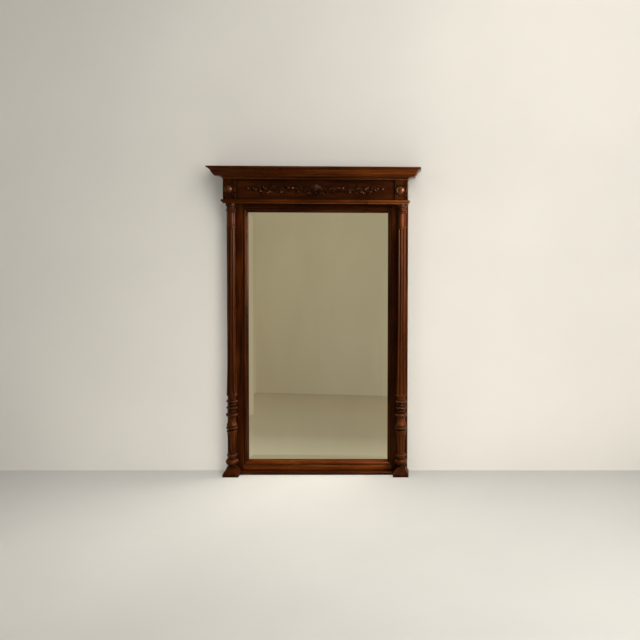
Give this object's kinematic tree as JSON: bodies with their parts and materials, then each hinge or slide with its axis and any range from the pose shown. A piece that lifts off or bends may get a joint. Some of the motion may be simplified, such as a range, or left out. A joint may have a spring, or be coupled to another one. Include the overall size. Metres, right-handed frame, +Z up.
{
  "type": "column mirror",
  "caption": "Tall wood-framed mirror with a bevelled plate, turned and fluted side columns on splayed plinths, a carved frieze and a mitred cornice.",
  "frame": {"origin": "under the middle of the whole, on the surface that the plinths and stiles stand on", "axes": "+X to the viewer's right, +Z up, the glass faces -Y and the flat back lies towards +Y"},
  "size_m": [1.156, 0.193, 1.716],
  "materials": {
    "frame_wood": "dark stained and polished",
    "column_wood": "dark stained and polished, turned",
    "carved_wood": "dark stained and polished, carved",
    "plate": "silvered and bevelled",
    "back_wood": "plain softwood",
    "hanger_steel": "dull plated"
  },
  "bodies": {
    "root": {"left_stile": "frame_wood", "right_stile": "frame_wood", "top_rail": "frame_wood", "bottom_rail": "frame_wood", "bottom_band": "frame_wood", "left_sight_moulding": "frame_wood", "right_sight_moulding": "frame_wood", "top_sight_moulding": "frame_wood", "bottom_sight_moulding": "frame_wood", "mirror_glass": "plate", "glass_blocks": "back_wood", "back_board_1": "back_wood", "back_board_2": "back_wood", "back_board_3": "back_wood", "back_board_4": "back_wood", "back_board_5": "back_wood", "back_board_6": "back_wood", "left_column": "column_wood", "right_column": "column_wood", "left_plinth": "frame_wood", "right_plinth": "frame_wood", "architrave_board": "frame_wood", "architrave_front": "frame_wood", "left_architrave_return": "frame_wood", "right_architrave_return": "frame_wood", "frieze_board": "frame_wood", "left_frieze_return": "frame_wood", "right_frieze_return": "frame_wood", "left_frieze_block": "frame_wood", "right_frieze_block": "frame_wood", "rosettes": "carved_wood", "frieze_cartouche": "carved_wood", "left_garland": "carved_wood", "right_garland": "carved_wood", "glue_blocks": "back_wood", "cornice_base": "frame_wood", "bed_moulding_front": "frame_wood", "left_bed_moulding_return": "frame_wood", "right_bed_moulding_return": "frame_wood", "corona_board": "frame_wood", "crown_front": "frame_wood", "left_crown_return": "frame_wood", "right_crown_return": "frame_wood", "hanger_plates": "hanger_steel"}
  },
  "joints": []
}
